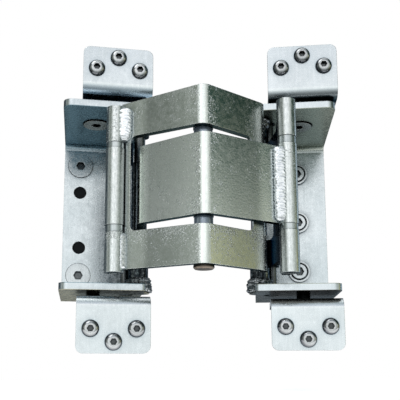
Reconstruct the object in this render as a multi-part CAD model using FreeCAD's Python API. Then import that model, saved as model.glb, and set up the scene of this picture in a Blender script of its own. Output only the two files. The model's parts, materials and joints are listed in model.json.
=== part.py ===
import FreeCAD, Part
import os
import math

os.makedirs("parts", exist_ok=True)
V = FreeCAD.Vector

# driving dimensions, mm and degrees
plate = 6.0
bracket_width = 72.0
bracket_depth = 111.0
bracket_height = 165.0
bracket_inner_bend = 5.0
half_tilt = 8.0
inner_edge_offset = 46.0
bracket_front_radius = 8.0

tab_width = 60.0
tab_thickness = 5.0
tab_corner = 6.0
tab_bend_outer = 9.0
tab_depth_leg = 62.0
tab_gap_top = 4.0
tab_gap_bottom = 5.5
tab_screw_half_spacing = 18.4
tab_screw_outer_row = 19.7
tab_screw_middle_row = 9.2

button_head_dia = 14.0
button_head_height = 4.0
button_rim_height = 0.9
button_shank_dia = 8.0
button_shank_length = 15.0
button_socket = 5.0
button_socket_depth = 2.8

flat_head_dia = 24.0
flat_shank_dia = 12.0
flat_head_height = 6.0
flat_shank_length = 26.0
flat_socket = 8.0
flat_socket_depth = 4.0
upper_head_proud = 1.2
lower_head_proud = 0.2
base_plain_hole_dia = 12.5
plug_recess = 1.5
left_base_column = 56.0
left_base_screw_z = 56.0
left_base_hole_z = 28.2
right_base_column = 44.0
right_base_screw_z = (49.0, -1.5, -51.5)
collar_dia = 21.5
collar_bore = 17.5
collar_height = 3.0
counterbore_depth = 4.0
cap_head_dia = 14.6
cap_head_proud = 3.6
cap_socket_depth = 5.0
cap_shank_reach = 20.0

flange_screw_s = 42.6
flange_screw_d = 42.0
flange_head_dia = 24.0
flange_head_depth = 5.2
flange_head_proud = 1.0
flange_shank_dia = 12.0
flange_shank_past_nut = 2.0
flange_socket = 8.0
flange_socket_depth = 4.0
flange_nut_across = 18.0
flange_nut_height = 7.0
hole_clearance = 0.15

barrel_dia = 16.0
barrel_pin_dia = 9.0
fixed_pin_dia = 10.0
link_pin_dia = 8.0
link_eye_dia = 13.0
boss_dia = 17.0
boss_height = 16.5
pin_clearance = 0.05

# plan positions on a bracket: outward from the inner edge, depth from the front edge
fixed_pivot = (4.0, 24.0)
barrel_axis = (28.0, -20.0)
link_pin_start = (15.0, 36.0)
link_hole_centre = (14.11, 35.0)
link_hole_dia = 13.6
centre_y = -45.0
ridge_y = -61.0
arm_slope = 0.5596
far_bend = (52.8, -21.5)
arm_bend_outer = 9.0
arm_bend_inner = 3.0

outer_arm_top = 73.8
outer_arm_top_at_barrel = 70.4
outer_arm_bottom = -68.4
window_top = 41.5
window_bottom = -37.8
window_left = -58.5
window_right = 41.0
window_corner = 5.0
inner_arm_top = 35.0
inner_arm_bottom = -30.0
left_knuckles = (67.1, 36.6, 31.5, -32.5, -38.5, -71.0)
right_knuckles = (75.5, 43.5, 37.0, -30.4, -35.8, -70.5)
right_link_top = 72.0
knuckle_clearance = 0.8
centre_head_dia = 16.5
centre_head_bottom = -71.2

link_eye_top = (38.0, 57.0)
link_eye_low = (-57.0, -33.0)
link_window_depth = 19.0

weld_offset = 7.3
weld_radius = 4.8
weld_pitch = 3.6
boss_weld_leg = 3.6
boss_weld_height = 8.0
boss_weld_start = 165.0
boss_weld_sweep = 205.0


def rounded(points):
    # closed face from plan points, each with its own corner radius
    edges = []
    starts = []
    ends = []
    mids = []
    count = len(points)
    for i in range(count):
        x, y, r = points[i]
        p = V(x, y, 0)
        before = V(points[i - 1][0], points[i - 1][1], 0)
        after = V(points[(i + 1) % count][0], points[(i + 1) % count][1], 0)
        a = (before - p)
        b = (after - p)
        a.normalize()
        b.normalize()
        if r < 0.01:
            starts.append(p)
            ends.append(p)
            mids.append(None)
            continue
        angle = math.acos(max(-1.0, min(1.0, a.dot(b))))
        back = r / math.tan(angle / 2.0)
        s = p + a * back
        e = p + b * back
        bis = a + b
        bis.normalize()
        centre = p + bis * (r / math.sin(angle / 2.0))
        starts.append(s)
        ends.append(e)
        mids.append(centre - bis * r)
    for i in range(count):
        if mids[i] is not None:
            edges.append(Part.Arc(starts[i], mids[i], ends[i]).toShape())
        nxt = starts[(i + 1) % count]
        if (nxt - ends[i]).Length > 1e-6:
            edges.append(Part.makeLine(ends[i], nxt))
    return Part.Face(Part.Wire(edges))


def prism(points, z0, z1):
    face = rounded(points)
    face.translate(V(0, 0, z0))
    return face.extrude(V(0, 0, z1 - z0))


def cyl(dia, x, y, z0, z1):
    return Part.makeCylinder(dia / 2.0, z1 - z0, V(x, y, z0))


def y_cyl(dia, x, z, y0, y1):
    return Part.makeCylinder(dia / 2.0, y1 - y0, V(x, y0, z), V(0, 1, 0))


def tube(dia, bore, x, y, z0, z1):
    return cyl(dia, x, y, z0, z1).cut(cyl(bore, x, y, z0 - 1, z1 + 1))


def hexagon(across, height):
    r = across / math.sqrt(3.0)
    pts = []
    for k in range(6):
        t = math.radians(60 * k)
        pts.append((r * math.cos(t), r * math.sin(t), 0))
    return prism(pts, 0, height)


def face_prism(points, y0, y1):
    # outline given in x and z, extruded along y
    shape = prism(points, 0, y1 - y0)
    shape.rotate(V(0, 0, 0), V(1, 0, 0), 90)
    shape.translate(V(0, y1, 0))
    return shape


def rect(x0, z0, x1, z1, r):
    return [(x0, z0, r), (x1, z0, r), (x1, z1, r), (x0, z1, r)]


def on_bracket(s, d):
    # plan point of a right bracket position in the working frame
    t = math.radians(half_tilt)
    x = inner_edge_offset + s * math.cos(t) + d * math.sin(t)
    y = -s * math.sin(t) + d * math.cos(t)
    return (x, y)


def place_right(shape):
    out = shape.copy()
    out.rotate(V(0, 0, 0), V(0, 0, 1), -half_tilt)
    out.translate(V(inner_edge_offset, 0, 0))
    return out


def flip(shape):
    return shape.mirror(V(0, 0, 0), V(1, 0, 0))


def place_left(shape):
    return flip(place_right(shape))


def save(shape, name):
    # last move: the left bracket ends up square to the axes, origin on its back face
    out = shape.copy()
    out.translate(V(inner_edge_offset, 0, 0))
    out.rotate(V(0, 0, 0), V(0, 0, 1), -half_tilt)
    out.translate(V(bracket_width / 2.0, -bracket_depth, 0))
    out.exportStep("parts/" + name + ".step")


def fused(shapes):
    out = shapes[0].multiFuse(shapes[1:])
    return out.removeSplitter()


def group(shapes):
    return Part.makeCompound(shapes)


half = bracket_height / 2.0
inside = half - plate


def folded_bracket():
    # side profile in depth and height, swept across the width:
    # a third of a turn about the cube diagonal takes x to y, y to z and z to x
    ro = bracket_inner_bend + plate
    ri = bracket_inner_bend
    d = bracket_depth
    prof = [
        (0, -half, 0), (d, -half, ro), (d, half, ro), (0, half, 0),
        (0, inside, 0), (d - plate, inside, ri), (d - plate, -inside, ri), (0, -inside, 0),
    ]
    body = prism(prof, 0, bracket_width)
    body.rotate(V(0, 0, 0), V(1, 1, 1), 120)
    r = bracket_front_radius
    w = bracket_width
    plan = [(0, 0, 3), (w, 0, r), (w, d, 0), (0, d, 0)]
    body = body.common(prism(plan, -half - 1, half + 1))
    lugs = []
    for z0, z1 in ((-half, -inside), (inside, half)):
        x, y = fixed_pivot
        lugs.append(cyl(boss_dia + 2.0, x, y, z0, z1))
    for sign in (-1, 1):
        z0 = sign * inside
        z1 = sign * (inside - boss_height)
        lugs.append(cyl(boss_dia, fixed_pivot[0], fixed_pivot[1], min(z0, z1), max(z0, z1)))
    body = fused([body] + lugs)
    x, y = fixed_pivot
    body = body.cut(cyl(fixed_pin_dia, x, y, -half - 1, half + 1))
    x, y = link_hole_centre
    body = body.cut(cyl(link_hole_dia, x, y, -half - 1, half + 1))
    for sign in (-1, 1):
        body = body.cut(flange_screw_cutter(sign))
    return body


def flange_screw_cutter(sign):
    x = flange_screw_s
    y = flange_screw_d
    z = sign * inside
    past = z + sign * (plate + 1.0)
    shank = cyl(flange_shank_dia + 4.0 * hole_clearance, x, y, min(z, past), max(z, past))
    head_r = flange_head_dia / 2.0 + hole_clearance
    small_r = flange_shank_dia / 2.0 + hole_clearance
    cone = Part.makeCone(head_r, small_r, flange_head_depth, V(x, y, z), V(0, 0, sign))
    return shank.fuse(cone)


def flange_screw(sign, gap):
    x = flange_screw_s
    y = flange_screw_d
    z = sign * inside
    depth = flange_head_depth
    cone = Part.makeCone(flange_head_dia / 2.0, flange_shank_dia / 2.0, depth, V(x, y, z), V(0, 0, sign))
    length = plate + gap + tab_thickness + flange_nut_height + flange_shank_past_nut
    rod = Part.makeCylinder(flange_shank_dia / 2.0, length, V(x, y, z), V(0, 0, sign))
    top = z - sign * flange_head_proud
    rim = Part.makeCylinder(flange_head_dia / 2.0, flange_head_proud, V(x, y, top), V(0, 0, sign))
    body = fused([cone, rod, rim])
    sock = hexagon(flange_socket, flange_socket_depth)
    if sign < 0:
        sock.translate(V(0, 0, -flange_socket_depth))
    sock.translate(V(x, y, top))
    return body.cut(sock)


def flange_nut(sign, gap):
    x = flange_screw_s
    y = flange_screw_d
    z = sign * (half + gap + tab_thickness)
    nut = hexagon(flange_nut_across, flange_nut_height)
    if sign < 0:
        nut.translate(V(0, 0, -flange_nut_height))
    nut.translate(V(x, y, z))
    return nut.cut(cyl(flange_shank_dia, x, y, z - 2.0 * flange_nut_height, z + 2.0 * flange_nut_height))


def tab(sign, s0, proud, end_z, gap):
    # face leg in front, depth leg over the flange, one bend between them
    t = tab_thickness
    front = -proud
    inner_z = half + gap
    ro = tab_bend_outer
    ri = ro - t
    prof = [
        (front, inner_z, ro), (front + tab_depth_leg, inner_z, 0), (front + tab_depth_leg, inner_z + t, 0),
        (front + t, inner_z + t, ri), (front + t, end_z, 0), (front, end_z, 0),
    ]
    body = prism(prof, 0, tab_width)
    body.rotate(V(0, 0, 0), V(1, 1, 1), 120)
    c = tab_corner
    w = tab_width
    outline = [(0, inner_z - 1, 0), (w, inner_z - 1, 0), (w, end_z, c), (0, end_z, c)]
    body = body.common(face_prism(outline, front - 1, front + tab_depth_leg + 1))
    back = front + tab_depth_leg
    plan = [(0, front - 1, 0), (w, front - 1, 0), (w, back, c), (0, back, c)]
    body = body.common(prism(plan, 0, 2.0 * end_z))
    for k, row in ((-1, tab_screw_outer_row), (0, tab_screw_middle_row), (1, tab_screw_outer_row)):
        x = w / 2.0 + k * tab_screw_half_spacing
        body = body.cut(y_cyl(button_shank_dia, x, end_z - row, front - t / 2.0, front + 1.5 * t))
    body.translate(V(s0, 0, 0))
    body = body.cut(cyl(flange_shank_dia, flange_screw_s, flange_screw_d, inner_z - t, inner_z + 2.0 * t))
    if sign < 0:
        body = body.mirror(V(0, 0, 0), V(0, 0, 1))
    return body


def button_screw(x, y, z):
    # dome head facing the front, shank running back
    r = button_head_dia / 2.0
    h = button_head_height
    rim = button_rim_height
    prof = [V(0, 0, 0), V(r, 0, 0), V(r, 0, rim), V(r * 0.84, 0, h * 0.72), V(r * 0.54, 0, h), V(0, 0, h)]
    edges = [Part.makeLine(prof[0], prof[1]), Part.makeLine(prof[1], prof[2])]
    edges.append(Part.Arc(prof[2], prof[3], prof[4]).toShape())
    edges.append(Part.makeLine(prof[4], prof[5]))
    edges.append(Part.makeLine(prof[5], prof[0]))
    head = Part.Face(Part.Wire(edges)).revolve(V(0, 0, 0), V(0, 0, 1), 360)
    shank_r = button_shank_dia / 2.0
    rod = Part.makeCylinder(shank_r, button_shank_length, V(0, 0, -button_shank_length))
    tip = Part.makeCone(shank_r - 1.0, shank_r, 1.0, V(0, 0, -button_shank_length - 1.0))
    body = fused([head, rod, tip])
    sock = hexagon(button_socket, button_socket_depth + 0.2)
    sock.translate(V(0, 0, h - button_socket_depth))
    body = body.cut(sock)
    body.rotate(V(0, 0, 0), V(1, 0, 0), 90)
    body.translate(V(x, y, z))
    return body


def tab_screws(sign, s0, proud, end_z):
    out = []
    for k, row in ((-1, tab_screw_outer_row), (0, tab_screw_middle_row), (1, tab_screw_outer_row)):
        x = s0 + tab_width / 2.0 + k * tab_screw_half_spacing
        out.append(button_screw(x, -proud, sign * (end_z - row)))
    return out


def flat_screw(x, z, proud):
    # countersunk head standing a little proud of the base, shank through the back
    front = bracket_depth - plate
    r = flat_head_dia / 2.0
    seat = -0.2
    rim = Part.makeCylinder(r, proud - seat, V(0, 0, seat))
    cone = Part.makeCone(flat_shank_dia / 2.0, r, flat_head_height + seat, V(0, 0, -flat_head_height))
    rod = Part.makeCylinder(flat_shank_dia / 2.0, flat_shank_length, V(0, 0, -flat_shank_length))
    body = fused([rim, cone, rod])
    sock = hexagon(flat_socket, flat_socket_depth + proud)
    sock.translate(V(0, 0, -flat_socket_depth))
    body = body.cut(sock)
    body.rotate(V(0, 0, 0), V(1, 0, 0), 90)
    body.translate(V(x, front, z))
    return body


def flat_screw_cutter(x, z):
    front = bracket_depth - plate
    r = flat_head_dia / 2.0 + hole_clearance
    small_r = flat_shank_dia / 2.0 + hole_clearance
    seat = -0.2
    cone = Part.makeCone(small_r, r, flat_head_height + seat, V(0, 0, -flat_head_height))
    rod = Part.makeCylinder(small_r, 2.0 * plate, V(0, 0, -2.0 * plate + seat))
    recess = Part.makeCylinder(r, 1.0, V(0, 0, seat))
    body = fused([cone, rod, recess])
    body.rotate(V(0, 0, 0), V(1, 0, 0), 90)
    body.translate(V(x, front, z))
    return body


# brackets, built as a right bracket and placed
left_bracket = folded_bracket()
right_bracket = folded_bracket()
front_of_base = bracket_depth - plate
behind_base = bracket_depth + 1.0
for z in (left_base_screw_z, -left_base_screw_z):
    left_bracket = left_bracket.cut(flat_screw_cutter(left_base_column, z))
for z in (left_base_hole_z, -left_base_hole_z):
    hole = y_cyl(base_plain_hole_dia, left_base_column, z, front_of_base - 1.0, behind_base)
    left_bracket = left_bracket.cut(hole)
for z in right_base_screw_z:
    hole_dia = flat_shank_dia + 4.0 * hole_clearance
    hole = y_cyl(hole_dia, right_base_column, z, front_of_base - 1.0, behind_base)
    bore = y_cyl(collar_bore, right_base_column, z, front_of_base - 1.0, front_of_base + counterbore_depth)
    right_bracket = right_bracket.cut(hole).cut(bore)
save(place_left(left_bracket), "left_bracket")
save(place_right(right_bracket), "right_bracket")

left_screws = []
for z, proud in ((left_base_screw_z, upper_head_proud), (-left_base_screw_z, lower_head_proud)):
    left_screws.append(place_left(flat_screw(left_base_column, z, proud)))
save(group(left_screws), "left_base_screws")

plugs = []
for z in (left_base_hole_z, -left_base_hole_z):
    plug = y_cyl(base_plain_hole_dia, left_base_column, z, front_of_base + plug_recess, bracket_depth)
    plugs.append(place_left(plug))
save(group(plugs), "left_base_plugs")

collars = []
cap_screws = []
for z in right_base_screw_z:
    y0 = front_of_base - collar_height
    ring = y_cyl(collar_dia, right_base_column, z, y0, front_of_base)
    ring = ring.cut(y_cyl(collar_bore, right_base_column, z, y0 - 1.0, front_of_base + 1.0))
    collars.append(place_right(ring))
    head_front = front_of_base - cap_head_proud
    head_seat = front_of_base + counterbore_depth
    head = y_cyl(cap_head_dia, right_base_column, z, head_front, head_seat)
    rod = y_cyl(flat_shank_dia, right_base_column, z, head_seat - 1.0, bracket_depth + cap_shank_reach)
    screw = fused([head, rod])
    sock = hexagon(flat_socket, cap_socket_depth + 1.0)
    sock.rotate(V(0, 0, 0), V(1, 0, 0), 90)
    sock.translate(V(right_base_column, head_front + cap_socket_depth, z))
    cap_screws.append(place_right(screw.cut(sock)))
save(group(collars), "right_base_collars")
save(group(cap_screws), "right_base_screws")

# tabs and their screws: inner edge, how far proud, end height
tab_plan = (
    ("left_top", place_left, 1, -4.0, 8.0, 127.6, tab_gap_top),
    ("left_bottom", place_left, -1, -3.0, 13.0, 134.7, tab_gap_bottom),
    ("right_top", place_right, 1, 14.0, 1.5, 134.0, tab_gap_top),
    ("right_bottom", place_right, -1, 12.8, -4.0, 131.8, tab_gap_bottom),
)
for name, put, sign, s0, proud, end_z, gap in tab_plan:
    save(put(tab(sign, s0, proud, end_z, gap)), name + "_tab")
    screws = []
    for one in tab_screws(sign, s0, proud, end_z):
        screws.append(put(one))
    save(group(screws), name + "_tab_screws")

for name, put in (("left", place_left), ("right", place_right)):
    screws = [put(flange_screw(1, tab_gap_top)), put(flange_screw(-1, tab_gap_bottom))]
    nuts = [put(flange_nut(1, tab_gap_top)), put(flange_nut(-1, tab_gap_bottom))]
    save(group(screws), name + "_flange_screws")
    save(group(nuts), name + "_flange_nuts")

# plan points in the working frame
qx, qy = on_bracket(fixed_pivot[0], fixed_pivot[1])
px, py = on_bracket(barrel_axis[0], barrel_axis[1])
rx, ry = on_bracket(link_pin_start[0], link_pin_start[1])


def thick(points, thickness, bends):
    # strip along a front line, thickness added on the far side
    n = len(points)
    normals = []
    for i in range(n - 1):
        a = V(points[i][0], points[i][1], 0)
        b = V(points[i + 1][0], points[i + 1][1], 0)
        u = b - a
        u.normalize()
        normals.append(V(-u.y, u.x, 0))
    back = []
    for i in range(n):
        p = V(points[i][0], points[i][1], 0)
        if i == 0:
            q = p + normals[0] * thickness
        elif i == n - 1:
            q = p + normals[-1] * thickness
        else:
            m = normals[i - 1] + normals[i]
            m.normalize()
            q = p + m * (thickness / m.dot(normals[i]))
        back.append((q.x, q.y))
    out = []
    for i in range(n):
        out.append((points[i][0], points[i][1], bends[i][0]))
    for i in range(n - 1, -1, -1):
        out.append((back[i][0], back[i][1], bends[i][1]))
    return out


def arm_plan():
    # from the left barrel over the ridge to the far bend and back to the right fixed pivot
    left_x = -(px - 5.0)
    left_y = ridge_y + (px - 5.0) * arm_slope
    pts = [(left_x, left_y), (0, ridge_y), far_bend, (qx + 3.0, qy - 2.0)]
    bend = (arm_bend_outer, arm_bend_inner)
    bends = [(0, 0), bend, bend, (0, 0)]
    return thick(pts, plate, bends)


def arm_stock(z0, z1):
    return prism(arm_plan(), z0, z1)


# outer arm: frame plate with window, knuckles at the left barrel, centre and right fixed pivot
stock = arm_stock(outer_arm_bottom, outer_arm_top)
window = rect(window_left, window_bottom, window_right, window_top, window_corner)
stock = stock.cut(face_prism(window, 2.0 * ridge_y, 0.5 * link_pin_start[1]))
taper = [(0, outer_arm_top, 0), (0, outer_arm_top + 1.0, 0), (-px, outer_arm_top + 1.0, 0)]
taper.append((-px, outer_arm_top_at_barrel, 0))
stock = stock.cut(face_prism(taper, 2.0 * ridge_y, 0.0))
rear_start = qy - 34.0
for z0, z1 in ((inner_arm_top, 2.0 * outer_arm_top), (2.0 * outer_arm_bottom, inner_arm_bottom)):
    stock = stock.cut(Part.makeBox(px - 0.5 * qx, 2.0 * qy, z1 - z0, V(0.5 * qx, rear_start, z0)))
k = left_knuckles
solids = [stock]
solids.append(cyl(barrel_dia, -px, py, k[1], k[0]))
solids.append(cyl(barrel_dia, -px, py, k[5], k[4]))
solids.append(cyl(barrel_dia, 0, centre_y, window_top, outer_arm_top))
solids.append(cyl(barrel_dia, 0, centre_y, outer_arm_bottom, window_bottom))
solids.append(cyl(barrel_dia - 2.0, qx, qy, inner_arm_bottom, inner_arm_top))
outer_arm = fused(solids)
outer_arm = outer_arm.cut(cyl(barrel_pin_dia, -px, py, -half, half))
outer_arm = outer_arm.cut(cyl(barrel_dia + 2.0 * knuckle_clearance, -px, py, k[4], k[1]))
outer_arm = outer_arm.cut(cyl(barrel_pin_dia, 0, centre_y, -half, half))
outer_arm = outer_arm.cut(cyl(fixed_pin_dia + 2.0 * pin_clearance, qx, qy, -half, half))
save(outer_arm, "outer_arm")

# inner arm: mirrored plan, lower plate, knuckles at the right barrel, centre and left fixed pivot
k = right_knuckles
stock = flip(arm_stock(inner_arm_bottom, inner_arm_top))
solids = [stock]
solids.append(cyl(barrel_dia, px, py, k[3], k[2]))
solids.append(cyl(barrel_dia, 0, centre_y, inner_arm_bottom, inner_arm_top))
solids.append(cyl(barrel_dia - 2.0, -qx, qy, inner_arm_bottom, inner_arm_top))
inner_arm = fused(solids)
inner_arm = inner_arm.cut(cyl(barrel_pin_dia + 2.0 * pin_clearance, px, py, -half, half))
inner_arm = inner_arm.cut(cyl(barrel_pin_dia + 2.0 * pin_clearance, 0, centre_y, -half, half))
inner_arm = inner_arm.cut(cyl(fixed_pin_dia + 2.0 * pin_clearance, -qx, qy, -half, half))
save(inner_arm, "inner_arm")


def link_strip(outline):
    # flat plate between the barrel axis and the rear pin, outline in length and height
    body = face_prism(outline, -plate / 2.0, plate / 2.0)
    turn = math.degrees(math.atan2(ry - py, rx - px))
    body.rotate(V(0, 0, 0), V(0, 0, 1), turn)
    body.translate(V(px, py, 0))
    return body


link_length = math.hypot(rx - px, ry - py)
top_eye = link_eye_top
low_eye = link_eye_low
window_start = link_length - link_window_depth


def link_body(outline, x, y):
    # strip, barrel knuckles added by the caller, and two eyes at the rear pin
    solids = [link_strip(outline)]
    solids.append(cyl(link_eye_dia, x, y, low_eye[0], low_eye[1]))
    solids.append(cyl(link_eye_dia, x, y, top_eye[0], top_eye[1]))
    return solids


# left link: one knuckle on the barrel, two eyes at the rear
k = left_knuckles
root = 3.0
step = 14.0
rise = 30.0
outline = [
    (root, k[3], 0), (step, k[3], 3), (rise, low_eye[0], 3), (link_length, low_eye[0], 0),
    (link_length, low_eye[1], 0), (window_start, low_eye[1], 5),
    (window_start, top_eye[0], 5), (link_length, top_eye[0], 0),
    (link_length, top_eye[1], 0), (rise, top_eye[1], 3), (step, k[2], 3), (root, k[2], 0),
]
solids = link_body(outline, rx, ry)
solids.append(cyl(barrel_dia, px, py, k[3], k[2]))
left_link = fused(solids)
left_link = left_link.cut(cyl(barrel_pin_dia + 2.0 * pin_clearance, px, py, -half, half))
left_link = left_link.cut(cyl(link_pin_dia, rx, ry, -half, half))
save(flip(left_link), "left_link")

# right link: two knuckles on the barrel, two eyes at the rear
k = right_knuckles
rise = 24.0
notch = 13.0
outline = [
    (root, k[5], 0), (step, k[5], 3), (rise, low_eye[0], 3), (link_length, low_eye[0], 0),
    (link_length, low_eye[1], 0), (window_start, low_eye[1], 5),
    (window_start, top_eye[0], 5), (link_length, top_eye[0], 0),
    (link_length, top_eye[1], 0), (rise, top_eye[1], 3), (step, right_link_top, 3),
    (root, right_link_top, 0), (root, k[1], 0), (notch, k[1], 4), (notch, k[4], 4), (root, k[4], 0),
]
solids = link_body(outline, rx, ry)
solids.append(cyl(barrel_dia, px, py, k[1], k[0]))
solids.append(cyl(barrel_dia, px, py, k[5], k[4]))
right_link = fused(solids)
right_link = right_link.cut(cyl(barrel_pin_dia, px, py, -half, half))
right_link = right_link.cut(cyl(link_pin_dia, rx, ry, -half, half))
save(right_link, "right_link")

# rings on the barrels and the centre
k = left_knuckles
rings = [tube(barrel_dia - 1.0, barrel_pin_dia, -px, py, k[2], k[1])]
rings.append(tube(barrel_dia - 1.0, barrel_pin_dia, -px, py, k[4], k[3]))
save(group(rings), "left_barrel_rings")
k = right_knuckles
rings = [tube(barrel_dia - 1.0, barrel_pin_dia, px, py, k[2], k[1])]
rings.append(tube(barrel_dia - 1.0, barrel_pin_dia, px, py, k[4], k[3]))
save(group(rings), "right_barrel_rings")
rings = [tube(barrel_dia - 1.0, barrel_pin_dia, 0, centre_y, inner_arm_top, window_top)]
rings.append(tube(barrel_dia - 1.0, barrel_pin_dia, 0, centre_y, window_bottom, inner_arm_bottom))
save(group(rings), "centre_rings")

# pins
pin_recess = 0.6
for name, x, k in (("left", -px, left_knuckles), ("right", px, right_knuckles)):
    save(cyl(barrel_pin_dia, x, py, k[5] + pin_recess, k[0] - pin_recess), name + "_barrel_pin")
chamfer = 1.2
neck_bottom = outer_arm_bottom - 1.0
neck_top = outer_arm_top + 0.8
head_r = centre_head_dia / 2.0
tip = Part.makeCone(head_r - chamfer, head_r, chamfer, V(0, centre_y, centre_head_bottom))
drum = cyl(centre_head_dia, 0, centre_y, centre_head_bottom + chamfer, outer_arm_bottom)
centre_pin = fused([tip, drum, cyl(barrel_pin_dia, 0, centre_y, neck_bottom, neck_top)])
save(centre_pin, "centre_pin")
save(cyl(fixed_pin_dia, -qx, qy, -half, half), "left_fixed_pin")
save(cyl(fixed_pin_dia, qx, qy, -half, half), "right_fixed_pin")
rear = []
for z0, z1 in ((-half + 0.5, low_eye[1]), (top_eye[0], half - 0.5)):
    rear.append(cyl(link_pin_dia, rx, ry, z0, z1))
save(flip(group(rear)), "left_link_pins")
save(group(rear), "right_link_pins")


def bead(x, y, z0, z1, radius, pitch):
    # weld bead standing on end: overlapping pools of metal, a little uneven in size and place
    count = int(round((z1 - z0 - 2.0 * radius) / pitch)) + 1
    step = (z1 - z0 - 2.0 * radius) / (count - 1)
    pools = []
    for i in range(count):
        big = radius * (1.0 - 0.05 * ((i * 5) % 3))
        dx = 0.12 * radius * math.sin(2.4 * i)
        dy = 0.05 * radius * math.cos(1.7 * i)
        pools.append(Part.makeSphere(big, V(x + dx, y + dy, z0 + radius + i * step)))
    return pools[0].multiFuse(pools[1:])


def largest(shape):
    return max(shape.Solids, key=lambda one: one.Volume)


# weld beads in the corner between an arm's plate and its barrel
weld_x = px - weld_offset
weld_y = py - 0.4 * barrel_dia / 2.0
k = left_knuckles
top_bead = bead(-weld_x, weld_y, k[1] + 0.6, k[0] - 0.6, weld_radius, weld_pitch)
low_bead = bead(-weld_x, weld_y, k[5] + 2.6, k[4] - 0.6, 0.75 * weld_radius, weld_pitch)
save(group([largest(top_bead.cut(outer_arm)), largest(low_bead.cut(outer_arm))]), "outer_arm_weld")
k = right_knuckles
inner_bead = bead(weld_x, weld_y, k[3] + 1.0, inner_arm_top - 0.6, weld_radius, weld_pitch)
save(largest(inner_bead.cut(inner_arm)), "inner_arm_weld")


def boss_weld(sign, bracket):
    # lumpy bead round the front of a boss and over the lug beyond the flange's edge
    r = boss_dia / 2.0
    z = inside
    leg = boss_weld_leg
    tall = boss_weld_height
    prof = [
        V(r - 0.5, 0, z + plate - 0.8), V(r + leg * 0.7, 0, z + plate - 0.8), V(r + leg, 0, z + plate / 2.0),
        V(r + leg * 0.85, 0, z), V(r + leg, 0, z - 0.25 * tall), V(r + leg * 0.6, 0, z - 0.45 * tall),
        V(r + leg * 0.75, 0, z - 0.7 * tall), V(r + leg * 0.2, 0, z - tall), V(r - 0.5, 0, z - tall),
    ]
    ring = Part.Face(Part.makePolygon(prof + [prof[0]])).revolve(V(0, 0, 0), V(0, 0, 1), boss_weld_sweep)
    ring.rotate(V(0, 0, 0), V(0, 0, 1), boss_weld_start)
    ring.translate(V(fixed_pivot[0], fixed_pivot[1], 0))
    if sign < 0:
        ring = ring.mirror(V(0, 0, 0), V(0, 0, 1))
    ring = ring.cut(cyl(fixed_pin_dia + 1.0, fixed_pivot[0], fixed_pivot[1], -half, half))
    return largest(ring.cut(bracket))


for name, put, bracket in (("left", place_left, left_bracket), ("right", place_right, right_bracket)):
    welds = [put(boss_weld(1, bracket)), put(boss_weld(-1, bracket))]
    save(group(welds), name + "_boss_welds")
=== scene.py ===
import json
import math
from collections import namedtuple

import bpy
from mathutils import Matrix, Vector
from mathutils import noise as hills


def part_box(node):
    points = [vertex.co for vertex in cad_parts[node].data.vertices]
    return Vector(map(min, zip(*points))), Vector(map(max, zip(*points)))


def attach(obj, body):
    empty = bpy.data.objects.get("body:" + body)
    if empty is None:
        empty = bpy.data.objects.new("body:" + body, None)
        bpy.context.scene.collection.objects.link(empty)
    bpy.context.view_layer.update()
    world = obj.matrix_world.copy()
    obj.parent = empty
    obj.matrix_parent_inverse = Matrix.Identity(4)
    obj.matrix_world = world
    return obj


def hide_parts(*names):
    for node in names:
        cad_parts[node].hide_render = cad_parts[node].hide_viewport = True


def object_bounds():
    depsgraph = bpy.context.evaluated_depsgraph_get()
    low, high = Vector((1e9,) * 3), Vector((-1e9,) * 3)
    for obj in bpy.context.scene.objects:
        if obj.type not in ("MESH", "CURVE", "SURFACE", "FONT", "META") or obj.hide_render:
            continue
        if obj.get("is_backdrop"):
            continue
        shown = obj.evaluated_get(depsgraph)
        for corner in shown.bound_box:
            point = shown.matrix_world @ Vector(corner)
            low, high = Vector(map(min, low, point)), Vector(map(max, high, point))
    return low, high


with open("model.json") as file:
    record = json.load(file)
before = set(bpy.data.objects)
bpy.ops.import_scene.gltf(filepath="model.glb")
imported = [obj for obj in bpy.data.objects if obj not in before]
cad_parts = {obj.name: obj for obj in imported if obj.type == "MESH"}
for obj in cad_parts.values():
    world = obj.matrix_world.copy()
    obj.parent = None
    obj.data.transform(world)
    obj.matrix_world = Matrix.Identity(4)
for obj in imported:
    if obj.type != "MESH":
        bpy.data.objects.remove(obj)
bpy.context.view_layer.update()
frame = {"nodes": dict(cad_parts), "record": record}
nodes = frame["nodes"]
record = frame["record"]

WHITE = (1.0, 1.0, 1.0)

# the hinge's own middle plane is turned this far round Z
TILT = math.radians(8.0)

# camera: where the photograph was taken from
CAMERA_PLACE = Vector((-0.02045, -0.63426, -0.14468))
CAMERA_AZIMUTH = math.radians(9.358)
CAMERA_ELEVATION = math.radians(8.82)
CAMERA_LENS = 57.0
CAMERA_SENSOR = 36.0
CAMERA_SHIFT = (0.0477, 0.1696)
CAMERA_NEAR = 0.01

# the floor under the part
FLOOR_Z = -0.166
FLOOR_MIDDLE = (0.10, 0.04)
FLOOR_WIDTH = 0.90
FLOOR_LENGTH = 0.56
FLOOR_TONE = (0.86, 0.87, 0.88)
FLOOR_LIFT = 0.8


def box_axis(node):
    """Where the upright axis of a round piece stands."""
    low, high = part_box(node)
    return ((low[0] + high[0]) / 2.0, (low[1] + high[1]) / 2.0)


# axes and levels of the part that the materials follow
LEFT_BARREL = box_axis("left_barrel_pin")
RIGHT_BARREL = box_axis("right_barrel_pin")
PIVOTS = (box_axis("left_fixed_pin"), box_axis("right_fixed_pin"))
FLANGE_SCREWS = (box_axis("left_flange_screws"), box_axis("right_flange_screws"))
CENTRE = box_axis("centre_pin")
PLATE_THICKNESS = 0.006
WINDOW_GAP = 0.006
BRACKET_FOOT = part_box("left_bracket")[0][2]
FLANGE_FACE = -BRACKET_FOOT - PLATE_THICKNESS
WINDOW_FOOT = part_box("inner_arm")[0][2] - WINDOW_GAP


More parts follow.
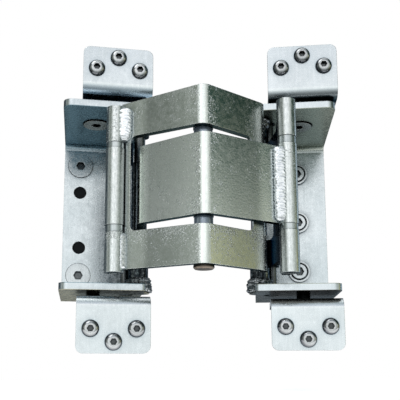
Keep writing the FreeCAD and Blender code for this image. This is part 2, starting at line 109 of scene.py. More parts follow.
# shader nodes
def new_material(name):
    mat = bpy.data.materials.new(name)
    mat.use_nodes = True
    tree = mat.node_tree
    tree.nodes.clear()
    out = tree.nodes.new("ShaderNodeOutputMaterial")
    return mat, tree, out


def noise(tree, coords, scale, detail=3.0, rough=0.55, stretch=None):
    vec = coords
    if stretch:
        mapping = tree.nodes.new("ShaderNodeMapping")
        mapping.inputs["Scale"].default_value = stretch
        tree.links.new(coords, mapping.inputs["Vector"])
        vec = mapping.outputs["Vector"]
    tex = tree.nodes.new("ShaderNodeTexNoise")
    tex.inputs["Scale"].default_value = scale
    tex.inputs["Detail"].default_value = detail
    tex.inputs["Roughness"].default_value = rough
    tree.links.new(vec, tex.inputs["Vector"])
    return tex.outputs["Fac"]


RISING = (0.0, 1.0)
FALLING = (1.0, 0.0)


def spread(tree, value, span, ends=RISING):
    """Maps the span of a value on the two ends, and holds them outside it."""
    node = tree.nodes.new("ShaderNodeMapRange")
    node.inputs["From Min"].default_value = span[0]
    node.inputs["From Max"].default_value = span[1]
    node.inputs["To Min"].default_value = ends[0]
    node.inputs["To Max"].default_value = ends[1]
    tree.links.new(value, node.inputs["Value"])
    return node.outputs["Result"]


def math_node(tree, operation, a, b=0.0):
    node = tree.nodes.new("ShaderNodeMath")
    node.operation = operation
    for index, value in enumerate((a, b)):
        if isinstance(value, (int, float)):
            node.inputs[index].default_value = value
        else:
            tree.links.new(value, node.inputs[index])
    return node.outputs[0]


def vector_node(tree, operation, vector, constant=None):
    node = tree.nodes.new("ShaderNodeVectorMath")
    node.operation = operation
    tree.links.new(vector, node.inputs[0])
    if constant:
        node.inputs[1].default_value = constant
    return node.outputs


def colour_sockets(sockets):
    return [socket for socket in sockets if socket.type == "RGBA"]


def mix(tree, factor, a, b):
    """From a, a colour or a socket, to b as the factor rises."""
    node = tree.nodes.new("ShaderNodeMix")
    node.data_type = "RGBA"
    for socket, value in zip(colour_sockets(node.inputs), (a, b)):
        if isinstance(value, tuple):
            socket.default_value = (*value, 1.0)
        else:
            tree.links.new(value, socket)
    share = [socket for socket in node.inputs if socket.name == "Factor" and socket.type == "VALUE"]
    tree.links.new(factor, share[0])
    return colour_sockets(node.outputs)[0]


def times(tree, a, b):
    node = tree.nodes.new("ShaderNodeMix")
    node.data_type = "RGBA"
    node.blend_type = "MULTIPLY"
    node.inputs["Factor"].default_value = 1.0
    first, second = colour_sockets(node.inputs)
    tree.links.new(a, first)
    tree.links.new(b, second)
    return colour_sockets(node.outputs)[0]


def component(tree, vector, axis):
    node = tree.nodes.new("ShaderNodeSeparateXYZ")
    tree.links.new(vector, node.inputs["Vector"])
    return node.outputs[axis]


def facing(tree, axis):
    """How far the surface faces along that axis, -1 to 1."""
    return component(tree, tree.nodes.new("ShaderNodeTexCoord").outputs["Normal"], axis)


def raise_surface(tree, height, strength, distance, normal):
    node = tree.nodes.new("ShaderNodeBump")
    node.inputs["Strength"].default_value = strength
    node.inputs["Distance"].default_value = distance
    tree.links.new(height, node.inputs["Height"])
    tree.links.new(normal, node.inputs["Normal"])
    return node.outputs["Normal"]


# masks on the part
MASK_FEATHER = 0.0003
SIDES_BLEND = 0.01


def within(tree, coords, axis, reach):
    """1 inside that distance of an upright axis, 0 outside."""
    offset = vector_node(tree, "SUBTRACT", coords, (axis[0], axis[1], 0.0))["Vector"]
    flat = vector_node(tree, "MULTIPLY", offset, (1.0, 1.0, 0.0))["Vector"]
    length = vector_node(tree, "LENGTH", flat)["Value"]
    return spread(tree, length, (reach, reach + MASK_FEATHER), FALLING)


def within_either(tree, coords, axes, reach):
    near = [within(tree, coords, axis, reach) for axis in axes]
    return math_node(tree, "MAXIMUM", *near)


def on_right(tree, coords):
    """0 on the left half of the part, 1 on the right half."""
    side = component(tree, coords, "X")
    return spread(tree, side, (CENTRE[0] - SIDES_BLEND, CENTRE[0] + SIDES_BLEND))


def from_ridge(tree, coords):
    """Distance aside from the centre bend."""
    x_offset = math_node(tree, "SUBTRACT", component(tree, coords, "X"), CENTRE[0])
    y_offset = math_node(tree, "SUBTRACT", component(tree, coords, "Y"), CENTRE[1])
    along = math_node(tree, "MULTIPLY", x_offset, math.cos(TILT))
    across = math_node(tree, "MULTIPLY", y_offset, math.sin(TILT))
    return math_node(tree, "ABSOLUTE", math_node(tree, "SUBTRACT", along, across))


# turned tubes round both barrel axes, streaked along their length
BARREL_REACH = 0.0081
TUBE_SCALE = 900.0
TUBE_STRETCH = (1.0, 1.0, 0.3)
TUBE_SPAN = (0.4, 0.66)
TUBE_DARK = (0.62, 0.65, 0.64)
TUBE_LIGHT = (0.84, 0.87, 0.86)


def barrel_tone(tree, coords, tone):
    """The plate beside the tubes keeps its tone."""
    grain = noise(tree, coords, TUBE_SCALE, rough=0.7, stretch=TUBE_STRETCH)
    tube = mix(tree, spread(tree, grain, TUBE_SPAN), TUBE_DARK, TUBE_LIGHT)
    near = within_either(tree, coords, (LEFT_BARREL, RIGHT_BARREL), BARREL_REACH)
    return mix(tree, near, tone, tube)


# painted shade round the fixed pivots, deep among the arms and links where the bosses are welded,
# broken into blotches
PIVOT_SHADE_REACH = 0.0115
BLOTCH_SCALE = 420.0
BLOTCH_SPAN = (0.5, 0.64)
PIVOT_SHADE_DARK = (0.06, 0.07, 0.08)
PIVOT_SHADE_LIGHT = (0.34, 0.37, 0.38)


def pivot_shade(tree, coords, tone):
    blotch = noise(tree, coords, BLOTCH_SCALE, rough=0.6)
    dark = mix(tree, spread(tree, blotch, BLOTCH_SPAN), PIVOT_SHADE_DARK, PIVOT_SHADE_LIGHT)
    return mix(tree, within_either(tree, coords, PIVOTS, PIVOT_SHADE_REACH), tone, dark)


# the arms: painted sheen, brightest by the centre bend, greyer outwards, bright again at the end
# bends
SHEEN_NEAR = (0.006, 0.026)
SHEEN_NEAR_SHARE = 0.6
SHEEN_FAR = (0.026, 0.056)
SHEEN_FAR_SHARE = 0.4
END_BEND = (0.043, 0.049)
SHEEN_DIM_TONE = (0.55, 0.56, 0.56)
# painted shade: cut edges that face down are darkened
UNDERSIDE_SHADE_FACING = (-0.6, -0.9)
UNDERSIDE_SHADE_TONE = (0.10, 0.12, 0.11)


def arm_tone(tree, coords, tone):
    aside = from_ridge(tree, coords)
    near = spread(tree, aside, SHEEN_NEAR, (0.0, SHEEN_NEAR_SHARE))
    far = spread(tree, aside, SHEEN_FAR, (0.0, SHEEN_FAR_SHARE))
    end_bend = spread(tree, aside, END_BEND, FALLING)
    sheen_dimming = math_node(tree, "MULTIPLY", math_node(tree, "ADD", near, far), end_bend)
    # painted sheen: the plate is dimmed away from the centre bend and lit again at the end bends
    plate = times(tree, tone, mix(tree, sheen_dimming, WHITE, SHEEN_DIM_TONE))
    # painted shade on faces that look down
    plate = mix(tree, spread(tree, facing(tree, "Z"), UNDERSIDE_SHADE_FACING), plate, UNDERSIDE_SHADE_TONE)
    return barrel_tone(tree, coords, pivot_shade(tree, coords, plate))


# zinc flecks, thick just under the window of the arm and beside the centre bend
FLECK_HEIGHT = 0.0004
FLECK_DROP = 0.020
FLECK_TOP = 0.003
FLECK_SCALE = 760.0
FLECK_GAIN = 0.22
FLECK_SPAN = (0.67, 0.77)
PATCH_SCALE = 70.0
PATCH_SPAN = (0.35, 0.65)
PATCH_ENDS = (-0.10, 0.06)
RIDGE_CLEAR = (0.0025, 0.0045)
RIDGE_FLECKS = (0.006, 0.016)
RIDGE_SHARE = 0.45


def arm_flecks(tree, coords):
    height = component(tree, coords, "Z")
    rise = spread(tree, height, (WINDOW_FOOT - FLECK_DROP, WINDOW_FOOT))
    fall = spread(tree, height, (WINDOW_FOOT, WINDOW_FOOT + FLECK_TOP), FALLING)
    aside = from_ridge(tree, coords)
    clear = spread(tree, aside, RIDGE_CLEAR)
    ridge = spread(tree, aside, RIDGE_FLECKS, (RIDGE_SHARE, 0.0))
    where = math_node(tree, "MAXIMUM", math_node(tree, "MULTIPLY", rise, fall), ridge)
    grit = noise(tree, coords, FLECK_SCALE, detail=2.0, rough=0.6)
    patch = noise(tree, coords, PATCH_SCALE, detail=2.0, rough=0.5)
    amount = math_node(tree, "ADD", grit, math_node(tree, "MULTIPLY", where, FLECK_GAIN))
    amount = math_node(tree, "ADD", amount, spread(tree, patch, PATCH_SPAN, PATCH_ENDS))
    return math_node(tree, "MULTIPLY", clear, spread(tree, amount, FLECK_SPAN))


# button heads: painted shade on the dome where it turns away from the front; the flat round the
# socket keeps its tone
HEAD_FACING = (-0.60, -0.94)
DOME_SHADE_TONE = (0.20, 0.205, 0.22)


def head_shade(tree, coords, tone):
    return mix(tree, spread(tree, facing(tree, "Y"), HEAD_FACING), DOME_SHADE_TONE, tone)


# screws in the flanges: painted shade on the rims, bright flat faces
FACE_FACING = (0.5, 0.9)
RIM_SHADE_TONE = (0.03, 0.035, 0.035)


def rim_shade(tree, coords, tone):
    flat = math_node(tree, "ABSOLUTE", facing(tree, "Z"))
    return mix(tree, spread(tree, flat, FACE_FACING), RIM_SHADE_TONE, tone)


# the inner faces of the flanges: painted shade, with a darker patch of painted shade at each screw
FLANGE_FADE = 0.0075
FLANGE_EDGE = (FLANGE_FACE + 0.0003, FLANGE_FACE + 0.0007)
FLANGE_LEFT_SHADE = (0.26, 0.37, 0.42)
FLANGE_RIGHT_SHADE = (0.44, 0.47, 0.40)
SCREW_SHADE_REACH = 0.0124
SCREW_SHADE_SHIFT = -0.0010
SCREW_SHADE_TONE = (0.02, 0.025, 0.03)
# the faces below the bottom flanges: a warm painted reflection on the left and near black painted
# shade on the right
LOWEST = (BRACKET_FOOT + 0.0002, BRACKET_FOOT + 0.0005)
LOWEST_LEFT_REFLECTION = (0.74, 0.68, 0.50)
LOWEST_RIGHT_SHADE = (0.14, 0.135, 0.12)


def bracket_tone(tree, coords, tone):
    tone = pivot_shade(tree, coords, tone)
    height = component(tree, coords, "Z")
    high = math_node(tree, "ABSOLUTE", height)
    rise = spread(tree, high, (FLANGE_FACE - FLANGE_FADE, FLANGE_FACE - MASK_FEATHER))
    fall = spread(tree, high, FLANGE_EDGE, FALLING)
    right = on_right(tree, coords)
    # painted shade on the inner faces of the flanges, darker round each screw
    under = mix(tree, right, FLANGE_LEFT_SHADE, FLANGE_RIGHT_SHADE)
    for x, y in FLANGE_SCREWS:
        screw_shade = within(tree, coords, (x, y + SCREW_SHADE_SHIFT), SCREW_SHADE_REACH)
        under = mix(tree, screw_shade, under, SCREW_SHADE_TONE)
    tone = mix(tree, math_node(tree, "MULTIPLY", rise, fall), tone, under)
    # painted reflection and painted shade on the faces below the bottom flanges
    lowest = spread(tree, height, LOWEST, FALLING)
    return mix(tree, lowest, tone, mix(tree, right, LOWEST_LEFT_REFLECTION, LOWEST_RIGHT_SHADE))


# below its bend a tab's downward faces get a painted blue reflection on the left side and near
# black painted shade on the right side
TAB_FACING = (-0.2, -0.9)
TAB_LEFT_REFLECTION = (0.30, 0.42, 0.52)
TAB_RIGHT_SHADE = (0.05, 0.07, 0.08)


def tab_reflection_and_shade(tree, coords, tone):
    down = spread(tree, facing(tree, "Z"), TAB_FACING)
    return mix(tree, down, tone, mix(tree, on_right(tree, coords), TAB_LEFT_REFLECTION, TAB_RIGHT_SHADE))


# painted shade: darker where other surfaces stand close, in corners, sockets and gaps, tinted blue
CORNER_SHADE_SAMPLES = 8
CORNER_SHADE_TINT = (0.75, 1.0, 1.15)
CORNER_SHADE_USUAL = (0.02, 0.1, 1.5)


def corner_shade(tree, reach, low, power):
    near = tree.nodes.new("ShaderNodeAmbientOcclusion")
    near.samples = CORNER_SHADE_SAMPLES
    near.inputs["Distance"].default_value = reach
    bare = math_node(tree, "POWER", near.outputs["AO"], power)
    return mix(tree, bare, tuple(low * part for part in CORNER_SHADE_TINT), WHITE)


# zinc plated steel: cloudy tone, fine speckle, streaks and worn sheen
CLOUD_SCALE = 26.0
CLOUD_SPAN = (0.35, 0.65)
FINE_SCALE = 620.0
FINE_SPAN = (0.55, 0.75)
SPOTS_SCALE = 250.0
SPOTS_SPAN = (0.62, 0.74)
SPOTS_SHARE = 0.5
STREAK_SCALE = 60.0
STREAK_STRETCH = (9.0, 9.0, 0.6)
STREAK_SPAN = (0.5, 0.72)
STREAK_SHARE = 0.35
SHINE_SPAN = (0.3, 0.7)
SHINE_SWING = (-0.06, 0.08)
# what metal reflects at a grazing angle, beside its tone seen straight on
EDGE_TINT = (0.30, 0.34, 0.38)
BEVEL_REACH = 0.0007
BEVEL_SAMPLES = 4
GRAIN_HEIGHT = 0.0003


def plated(
    name, base, dark, light, rough,
    metallic=1.0, speckle=0.5, bump=0.12, shade=CORNER_SHADE_USUAL, extra=None, raised=None,
):
    """A material; extra changes its tone from place to place, and raised gives it lumps."""
    mat, tree, out = new_material(name)
    bsdf = tree.nodes.new("ShaderNodeBsdfPrincipled")
    tree.links.new(bsdf.outputs["BSDF"], out.inputs["Surface"])
    coords = tree.nodes.new("ShaderNodeTexCoord").outputs["Object"]
    cloud = noise(tree, coords, CLOUD_SCALE, detail=4.0)
    fine = noise(tree, coords, FINE_SCALE, detail=2.0, rough=0.7)
    spots = noise(tree, coords, SPOTS_SCALE, rough=0.6)
    streak = noise(tree, coords, STREAK_SCALE, rough=0.6, stretch=STREAK_STRETCH)
    tone = mix(tree, spread(tree, cloud, CLOUD_SPAN), dark, base)
    tone = mix(tree, spread(tree, streak, STREAK_SPAN, (0.0, STREAK_SHARE)), tone, light)
    tone = mix(tree, spread(tree, fine, FINE_SPAN, (0.0, speckle)), tone, light)
    tone = mix(tree, spread(tree, spots, SPOTS_SPAN, (0.0, speckle * SPOTS_SHARE)), tone, dark)
    if extra:
        tone = extra(tree, coords, tone)
    # painted shade in corners, sockets and gaps darkens the tone
    tone = times(tree, tone, corner_shade(tree, *shade))
    tree.links.new(tone, bsdf.inputs["Base Color"])
    shine = spread(tree, spots, SHINE_SPAN, tuple(rough + swing for swing in SHINE_SWING))
    tree.links.new(shine, bsdf.inputs["Roughness"])
    bsdf.inputs["Metallic"].default_value = metallic
    bsdf.inputs["Specular Tint"].default_value = (*EDGE_TINT, 1)
    bevel = tree.nodes.new("ShaderNodeBevel")
    bevel.samples = BEVEL_SAMPLES
    bevel.inputs["Radius"].default_value = BEVEL_REACH
    normal = raise_surface(tree, fine, bump, GRAIN_HEIGHT, bevel.outputs["Normal"])
    if raised:
        normal = raise_surface(tree, raised(tree, coords), 1.0, FLECK_HEIGHT, normal)
    tree.links.new(normal, bsdf.inputs["Normal"])
    return mat


# shade is the reach, the darkest level and the power of the painted shade in corners
LOOKS = {
    "bracket_zinc": dict(
        base=(0.72, 0.76, 0.78), dark=(0.62, 0.67, 0.69), light=(0.88, 0.92, 0.94), rough=0.26,
        shade=(0.009, 0.10, 1.3), extra=bracket_tone,
    ),
    "tab_zinc": dict(
        base=(0.76, 0.80, 0.81), dark=(0.68, 0.72, 0.73), light=(0.92, 0.95, 0.96), rough=0.26,
        shade=(0.006, 0.40, 1.0), extra=tab_reflection_and_shade,
    ),
    "button_screw": dict(
        base=(0.60, 0.61, 0.61), dark=(0.46, 0.47, 0.47), light=(0.80, 0.80, 0.79), rough=0.16,
        speckle=0.2, shade=(0.006, 0.03, 2.6), extra=head_shade,
    ),
    "base_screw": dict(
        base=(0.66, 0.69, 0.70), dark=(0.50, 0.53, 0.55), light=(0.84, 0.87, 0.88), rough=0.22,
        speckle=0.3, shade=(0.006, 0.02, 2.8),
    ),
    "flange_fastener": dict(
        base=(0.54, 0.55, 0.52), dark=(0.38, 0.39, 0.36), light=(0.74, 0.74, 0.70), rough=0.24,
        speckle=0.3, shade=(0.008, 0.02, 2.0), extra=rim_shade,
    ),
    "arm_zinc": dict(
        base=(0.92, 0.95, 0.91), dark=(0.86, 0.895, 0.855), light=(0.99, 0.99, 0.98), rough=0.24,
        bump=0.3, shade=(0.006, 0.22, 1.3), extra=arm_tone, raised=arm_flecks,
    ),
    # the links are coloured near black: painted shade deep inside the hinge, among the arms
    "link_zinc": dict(
        base=(0.105, 0.125, 0.145), dark=(0.08, 0.10, 0.12), light=(0.15, 0.17, 0.19), rough=0.26,
        shade=(0.03, 0.03, 1.6), extra=barrel_tone,
    ),
    # plug_black: the black plugs in the plain holes of the left base are painted shade where the
    # holes show dark
    "plug_black": dict(
        base=(0.012, 0.012, 0.012), dark=(0.006, 0.006, 0.006), light=(0.03, 0.03, 0.03), rough=0.6,
        metallic=0.0, speckle=0.1,
    ),
    "spacer_ring": dict(
        base=(0.46, 0.52, 0.60), dark=(0.20, 0.24, 0.30), light=(0.70, 0.76, 0.82), rough=0.13,
        metallic=0.6, speckle=0.3, shade=(0.003, 0.3, 1.0),
    ),
    "barrel_ring": dict(
        base=(0.60, 0.64, 0.64), dark=(0.46, 0.50, 0.51), light=(0.80, 0.82, 0.82), rough=0.26,
        speckle=0.3, shade=(0.0025, 0.0, 1.6),
    ),
    "weld_bead": dict(
        base=(0.97, 0.98, 0.98), dark=(0.86, 0.88, 0.89), light=(0.98, 0.98, 0.98), rough=0.24,
        metallic=0.9, shade=(0.0016, 0.25, 1.0),
    ),
    # the boss welds are coloured dark with bright speckle: painted shade of the deep corner round
    # the pivots, with painted glints
    "boss_weld": dict(
        base=(0.30, 0.32, 0.33), dark=(0.05, 0.06, 0.07), light=(0.92, 0.93, 0.94), rough=0.16,
        speckle=0.9, bump=0.5, shade=(0.004, 0.03, 2.0),
    ),
    "centre_pin": dict(
        base=(0.38, 0.32, 0.27), dark=(0.20, 0.16, 0.13), light=(0.56, 0.47, 0.38), rough=0.34,
        speckle=0.4,
    ),
    "pin_steel": dict(
        base=(0.26, 0.27, 0.27), dark=(0.16, 0.17, 0.17), light=(0.44, 0.45, 0.45), rough=0.26,
        speckle=0.3,
    ),
}
mats = {name: plated(name, **look) for name, look in LOOKS.items()}

slot_of = {part["node"]: part["material_slot"] for part in record["subparts"]}
for name, obj in nodes.items():
    obj.data.materials.clear()
    obj.data.materials.append(mats[slot_of[name]])

body_of = {}
for body, members in record["behaviour"]["bodies"].items():
    for node in members:
        body_of[node] = body


# weld beads as a welder leaves them: a broad bead with one curved ripple after another
BEAD_SIDES = 40
BEAD_STEP = 0.00035
BEAD_SIDE_POWER = 0.75
BEAD_FRONT_POWER = 0.55
BEAD_END_SHARE = 0.8
RIPPLE_PITCH = 0.0027
RIPPLE_DEPTH = 0.11
RIPPLE_LAG = 0.9
RIPPLE_POWER = 0.5
WANDER_SHARE = 0.35
WANDER_SCALE = (2.0, 260.0, 50.0)
EDGE_SHARE = 0.10
EDGE_SCALE = (3.0, 420.0)
EDGE_SEED = 7.0

Bead = namedtuple("Bead", "centre half_width half_depth low high turn")


def squared(value, power):
    return math.copysign(abs(value) ** power, value)


def bead_row(bead, z):
    """The points round a bead at one height."""
    across = Vector((math.cos(bead.turn), math.sin(bead.turn), 0.0))
    out = Vector((math.sin(bead.turn), -math.cos(bead.turn), 0.0))
    end_length = bead.half_width * BEAD_END_SHARE
    end = min(z - bead.low, bead.high - z, end_length) / end_length
    taper = math.sqrt(max(0.0, 1.0 - (1.0 - end) ** 2))
    points = []
    for side in range(BEAD_SIDES):
        angle = 2.0 * math.pi * side / BEAD_SIDES
        u = squared(math.cos(angle), BEAD_SIDE_POWER)
        v = squared(math.sin(angle), BEAD_FRONT_POWER)
        spot = (u * WANDER_SCALE[0], z * WANDER_SCALE[1], bead.centre[0] * WANDER_SCALE[2])
        wander = hills.noise(Vector(spot))
        phase = z / RIPPLE_PITCH + RIPPLE_LAG * u * u + WANDER_SHARE * wander
        ripple = abs(math.sin(math.pi * phase)) ** RIPPLE_POWER
        spot = (u * EDGE_SCALE[0], z * EDGE_SCALE[1], EDGE_SEED)
        edge = 1.0 + EDGE_SHARE * hills.noise(Vector(spot))
        size = taper * edge * (1.0 - RIPPLE_DEPTH * (1.0 - ripple))
        aside = across * (u * bead.half_width * size)
        ahead = out * (v * bead.half_depth * size)
        place = Vector(bead.centre) + aside + ahead
        points.append((place.x, place.y, z))
    return points


def weld_beads(name, beads, body_node):
    """One object of rippled beads that stands in for the plain weld of that node."""
    verts = []
    faces = []
    for bead in beads:
        start = len(verts)
        rows = int((bead.high - bead.low) / BEAD_STEP)
        for row in range(rows + 1):
            verts += bead_row(bead, bead.low + (bead.high - bead.low) * (row / rows))
        for row in range(rows):
            for side in range(BEAD_SIDES):
                a = start + row * BEAD_SIDES + side
                b = start + row * BEAD_SIDES + (side + 1) % BEAD_SIDES
                faces.append((a, b, b + BEAD_SIDES, a + BEAD_SIDES))
    mesh = bpy.data.meshes.new(name)
    mesh.from_pydata(verts, [], faces)
    mesh.validate()
    for polygon in mesh.polygons:
        polygon.use_smooth = True
    obj = bpy.data.objects.new(name, mesh)
    bpy.context.scene.collection.objects.link(obj)
    mesh.materials.append(mats[slot_of[body_node]])
    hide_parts(body_node)
    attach(obj, body_of[body_node])


def beside(axis, side_offset, front_offset):
    """Point beside a barrel axis, on the hinge's own middle plane directions."""
    x = axis[0] + side_offset * math.cos(TILT) + front_offset * math.sin(TILT)
    y = axis[1] - side_offset * math.sin(TILT) + front_offset * math.cos(TILT)
    return (x, y, 0.0)


WELD_CLEARANCE = 0.0006
TOP_WELD_TURN = -TILT - math.radians(6)
LOW_WELD_TURN = -TILT + math.radians(30)

low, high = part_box("inner_arm_weld")
inner_bead = Bead(
    centre=beside(RIGHT_BARREL, side_offset=-0.0070, front_offset=-0.0038),
    half_width=0.0056, half_depth=0.0042,
    low=low[2], high=high[2], turn=-TILT,
)
weld_beads("inner_arm_weld_ripples", [inner_bead], "inner_arm_weld")

low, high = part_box("outer_arm_weld")
knuckle_low, knuckle_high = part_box("left_barrel_rings")
top_bead = Bead(
    centre=beside(LEFT_BARREL, side_offset=0.0074, front_offset=-0.0038),
    half_width=0.0060, half_depth=0.0042,
    low=knuckle_high[2] + WELD_CLEARANCE, high=high[2], turn=TOP_WELD_TURN,
)
low_bead = Bead(
    centre=beside(LEFT_BARREL, side_offset=0.0066, front_offset=-0.0028),
    half_width=0.0036, half_depth=0.0026,
    low=low[2], high=knuckle_low[2] - WELD_CLEARANCE, turn=LOW_WELD_TURN,
)
weld_beads("outer_arm_weld_ripples", [top_bead, low_bead], "outer_arm_weld")


# rough spattered surface on the welds round the fixed pivots
WELD_GRID = 0.00045
SPATTER_SIZE = 0.0028
SPATTER_DETAIL = 2
SPATTER_DEPTH = 0.0030
SPATTER_MIDDLE = 0.62

spatter = bpy.data.textures.new("weld_spatter", "CLOUDS")
spatter.noise_scale = SPATTER_SIZE
spatter.noise_depth = SPATTER_DETAIL
for name in ("left_boss_welds", "right_boss_welds"):
    grid = nodes[name].modifiers.new("grid", "REMESH")
    grid.mode = "VOXEL"
    grid.voxel_size = WELD_GRID
    grid.use_smooth_shade = True
    lumps = nodes[name].modifiers.new("spatter", "DISPLACE")
    lumps.texture = spatter
    lumps.texture_coords = "LOCAL"
    lumps.strength = SPATTER_DEPTH
    lumps.mid_level = SPATTER_MIDDLE


# the table top under the part, white to the eye and in reflections
def white_ground():
    mat, tree, out = new_material("studio_floor")
    diffuse = tree.nodes.new("ShaderNodeBsdfDiffuse")
    diffuse.inputs["Color"].default_value = (*FLOOR_TONE, 1)
    lift = tree.nodes.new("ShaderNodeEmission")
    lift.inputs["Color"].default_value = (*WHITE, 1)
    path = tree.nodes.new("ShaderNodeLightPath")
    seen = math_node(tree, "MAXIMUM", path.outputs["Is Camera Ray"], path.outputs["Is Glossy Ray"])
    seen = math_node(tree, "MAXIMUM", seen, path.outputs["Is Transmission Ray"])
    strength = math_node(tree, "MULTIPLY", seen, FLOOR_LIFT)
    tree.links.new(strength, lift.inputs["Strength"])
    both = tree.nodes.new("ShaderNodeAddShader")
    tree.links.new(diffuse.outputs["BSDF"], both.inputs[0])
    tree.links.new(lift.outputs["Emission"], both.inputs[1])
    tree.links.new(both.outputs["Shader"], out.inputs["Surface"])
    return mat


bpy.ops.mesh.primitive_plane_add(size=1.0, location=(*FLOOR_MIDDLE, FLOOR_Z))
floor = bpy.context.object
floor.name = "studio_floor"
floor.scale = (FLOOR_WIDTH, FLOOR_LENGTH, 1)
floor.data.materials.append(white_ground())
floor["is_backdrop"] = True


# the studio round the part: how light each bearing is, 0 being straight in front of the part
AROUND = (
    (-180, (0.34, 0.34, 0.30)),
    (-158, (0.30, 0.31, 0.30)),
    (-142, (0.10, 0.12, 0.13)),
    (-114, (0.05, 0.07, 0.09)),
    (-102, (0.14, 0.17, 0.18)),
    (-91, (0.44, 0.47, 0.46)),
    (-82, (0.46, 0.49, 0.475)),
    (-68, (0.23, 0.255, 0.23)),
    (-58, (0.30, 0.33, 0.30)),
    (-46, (0.80, 0.83, 0.82)),
    (-36, (1.20, 1.20, 1.20)),
    (-22, (1.34, 1.34, 1.34)),
    (-10, (1.00, 1.01, 1.01)),
    (2, (1.12, 1.13, 1.13)),
    (12, (1.10, 1.10, 1.10)),
    (24, (0.66, 0.69, 0.66)),
    (40, (0.56, 0.59, 0.56)),
    (60, (0.55, 0.58, 0.55)),
    (76, (0.42, 0.44, 0.40)),
    (84, (0.26, 0.28, 0.26)),
    (92, (0.08, 0.10, 0.09)),
    (98, (0.20, 0.25, 0.27)),
    (103, (0.72, 0.86, 0.96)),
    (114, (0.62, 0.74, 0.82)),
    (128, (0.34, 0.39, 0.42)),
    (150, (0.24, 0.27, 0.29)),
    (180, (0.34, 0.34, 0.30)),
)
# how light each height is in front, on the left and on the right, from straight down to straight up
HEIGHTS_FRONT = (
    (-90, (0.16, 0.17, 0.17)),
    (-52, (0.26, 0.28, 0.29)),
    (-32, (0.42, 0.45, 0.46)),
    (-12, (0.66, 0.70, 0.72)),
    (0, (0.88, 0.91, 0.92)),
    (10, (0.88, 0.92, 0.93)),
    (17, (1.02, 1.02, 1.02)),
    (25, (1.02, 1.02, 1.02)),
    (29, (0.66, 0.70, 0.78)),
    (32, (0.52, 0.57, 0.65)),
    (44, (0.50, 0.54, 0.58)),
    (64, (0.24, 0.30, 0.32)),
    (90, (0.30, 0.34, 0.36)),
)
HEIGHTS_LEFT = (
    (-90, (0.06, 0.06, 0.06)),
    (-30, (0.18, 0.20, 0.20)),
    (-4, (0.66, 0.68, 0.68)),
    (6, (0.86, 0.87, 0.87)),
    (14, (1.00, 1.00, 1.00)),
    (19, (0.66, 0.68, 0.66)),
    (28, (0.60, 0.62, 0.60)),
    (50, (0.20, 0.24, 0.26)),
    (90, (0.30, 0.34, 0.36)),
)
HEIGHTS_RIGHT = (
    (-90, (0.05, 0.05, 0.04)),
    (-30, (0.12, 0.13, 0.12)),
    (-6, (0.60, 0.60, 0.58)),
    (4, (0.92, 0.92, 0.90)),
    (10, (0.96, 0.97, 0.94)),
    (13, (0.88, 0.90, 0.86)),
    (17, (0.22, 0.28, 0.255)),
    (19, (0.01, 0.06, 0.045)),
    (34, (0.02, 0.075, 0.065)),
    (60, (0.10, 0.14, 0.15)),
    (90, (0.30, 0.34, 0.36)),
)
# bearings, in degrees, over which the front gives way to the left and the right
SIDE_LEFT = (-62, -50)
SIDE_RIGHT_START = (38, 50)
SIDE_RIGHT_END = (86, 98)
# a warm wall low on the right: its bearings and how high it stands
WARM_START = (60, 67)
WARM_END = (84, 98)
WARM_TOP = (9, 15)
WARM_TINT = (0.98, 0.94, 0.58)
SURROUND_LEVEL = 1.1
BACKDROP_EDGE = (0.90, 0.95)
BACKDROP_FOOT = (-0.07, -0.03)


def ramp(tree, value, half_turn, stops):
    """Colours at angles in degrees, from minus to plus half a turn, over a value of 0 to 1."""
    node = tree.nodes.new("ShaderNodeValToRGB")
    tree.links.new(value, node.inputs["Fac"])
    elements = node.color_ramp.elements
    for index, (angle, colour) in enumerate(stops):
        place = (angle + half_turn) / (2.0 * half_turn)
        if index == 0:
            stop = elements[0]
            stop.position = place
        elif index == len(stops) - 1:
            stop = elements[len(elements) - 1]
            stop.position = place
        else:
            stop = elements.new(place)
        stop.color = (*colour, 1)
    return node.outputs["Color"]


def angle_spread(tree, angle, span, ends=RISING):
    """Like spread, with the span in degrees."""
    return spread(tree, angle, tuple(math.radians(degrees) for degrees in span), ends)


def surround_colour(tree, direction):
    """The studio's light in each direction."""
    ahead = math_node(tree, "MULTIPLY", component(tree, direction, "Y"), -1.0)
    bearing = math_node(tree, "ARCTAN2", component(tree, direction, "X"), ahead)
    bearing_place = math_node(tree, "ADD", math_node(tree, "DIVIDE", bearing, 2.0 * math.pi), 0.5)
    height = math_node(tree, "ARCSINE", component(tree, direction, "Z"))
    height_place = math_node(tree, "ADD", math_node(tree, "DIVIDE", height, math.pi), 0.5)
    front = ramp(tree, height_place, 90.0, HEIGHTS_FRONT)
    left = ramp(tree, height_place, 90.0, HEIGHTS_LEFT)
    right = ramp(tree, height_place, 90.0, HEIGHTS_RIGHT)
    on_left = angle_spread(tree, bearing, SIDE_LEFT, FALLING)
    right_start = angle_spread(tree, bearing, SIDE_RIGHT_START)
    right_end = angle_spread(tree, bearing, SIDE_RIGHT_END, FALLING)
    heights = mix(tree, on_left, front, left)
    heights = mix(tree, math_node(tree, "MULTIPLY", right_start, right_end), heights, right)
    surround = times(tree, ramp(tree, bearing_place, 180.0, AROUND), heights)
    warm_start = angle_spread(tree, bearing, WARM_START)
    warm_end = angle_spread(tree, bearing, WARM_END, FALLING)
    warm_top = angle_spread(tree, height, WARM_TOP, FALLING)
    warm = math_node(tree, "MULTIPLY", math_node(tree, "MULTIPLY", warm_start, warm_end), warm_top)
    return times(tree, surround, mix(tree, warm, WHITE, WARM_TINT))


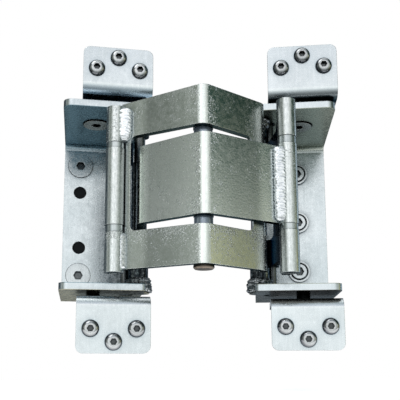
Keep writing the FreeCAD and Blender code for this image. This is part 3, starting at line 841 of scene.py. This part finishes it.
def backdrop_seen(tree, direction):
    """1 where the white backdrop shows: to the camera, through clear pieces, and in metal
    that mirrors what stands behind the part."""
    behind = spread(tree, component(tree, direction, "Y"), BACKDROP_EDGE)
    above_foot = spread(tree, component(tree, direction, "Z"), BACKDROP_FOOT)
    path = tree.nodes.new("ShaderNodeLightPath").outputs
    in_metal = math_node(tree, "MULTIPLY", behind, above_foot)
    in_metal = math_node(tree, "MULTIPLY", path["Is Glossy Ray"], in_metal)
    seen = math_node(tree, "MAXIMUM", path["Is Camera Ray"], path["Is Transmission Ray"])
    return math_node(tree, "MAXIMUM", seen, in_metal)


def studio():
    world = bpy.data.worlds.new("studio")
    bpy.context.scene.world = world
    world.use_nodes = True
    tree = world.node_tree
    tree.nodes.clear()
    out = tree.nodes.new("ShaderNodeOutputWorld")
    direction = tree.nodes.new("ShaderNodeTexCoord").outputs["Generated"]
    soft = tree.nodes.new("ShaderNodeBackground")
    tree.links.new(surround_colour(tree, direction), soft.inputs["Color"])
    soft.inputs["Strength"].default_value = SURROUND_LEVEL
    plain = tree.nodes.new("ShaderNodeBackground")
    plain.inputs["Color"].default_value = (*WHITE, 1)
    plain.inputs["Strength"].default_value = 1.0
    blend = tree.nodes.new("ShaderNodeMixShader")
    tree.links.new(backdrop_seen(tree, direction), blend.inputs["Fac"])
    tree.links.new(soft.outputs["Background"], blend.inputs[1])
    tree.links.new(plain.outputs["Background"], blend.inputs[2])
    tree.links.new(blend.outputs["Shader"], out.inputs["Surface"])


studio()

# soft lamps above the part, aimed at its middle: name, place, width and length, watts
LAMP_TARGET = Vector((0.07, -0.08, 0.0))
LAMPS = (
    ("key_left", (-0.7, -0.8, 1.5), (0.9, 0.9), 5),
    ("top_soft", (0.1, -0.2, 1.4), (1.4, 1.0), 4),
)
for name, place, size, energy in LAMPS:
    data = bpy.data.lights.new(name, "AREA")
    data.shape = "RECTANGLE"
    data.size, data.size_y = size
    data.energy = energy
    lamp = bpy.data.objects.new(name, data)
    bpy.context.scene.collection.objects.link(lamp)
    lamp.location = place
    lamp.rotation_euler = (LAMP_TARGET - Vector(place)).to_track_quat("-Z", "Y").to_euler()

camera_data = bpy.data.cameras.new("photo_camera")
camera = bpy.data.objects.new("photo_camera", camera_data)
bpy.context.scene.collection.objects.link(camera)
camera_data.lens = CAMERA_LENS
camera_data.sensor_width = CAMERA_SENSOR
camera_data.shift_x, camera_data.shift_y = CAMERA_SHIFT
camera_data.clip_start = CAMERA_NEAR
camera.location = CAMERA_PLACE
camera.rotation_euler = (math.radians(90) + CAMERA_ELEVATION, 0, -CAMERA_AZIMUTH)
bpy.context.scene.camera = camera
bpy.context.scene.view_settings.view_transform = "Standard"

low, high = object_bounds()
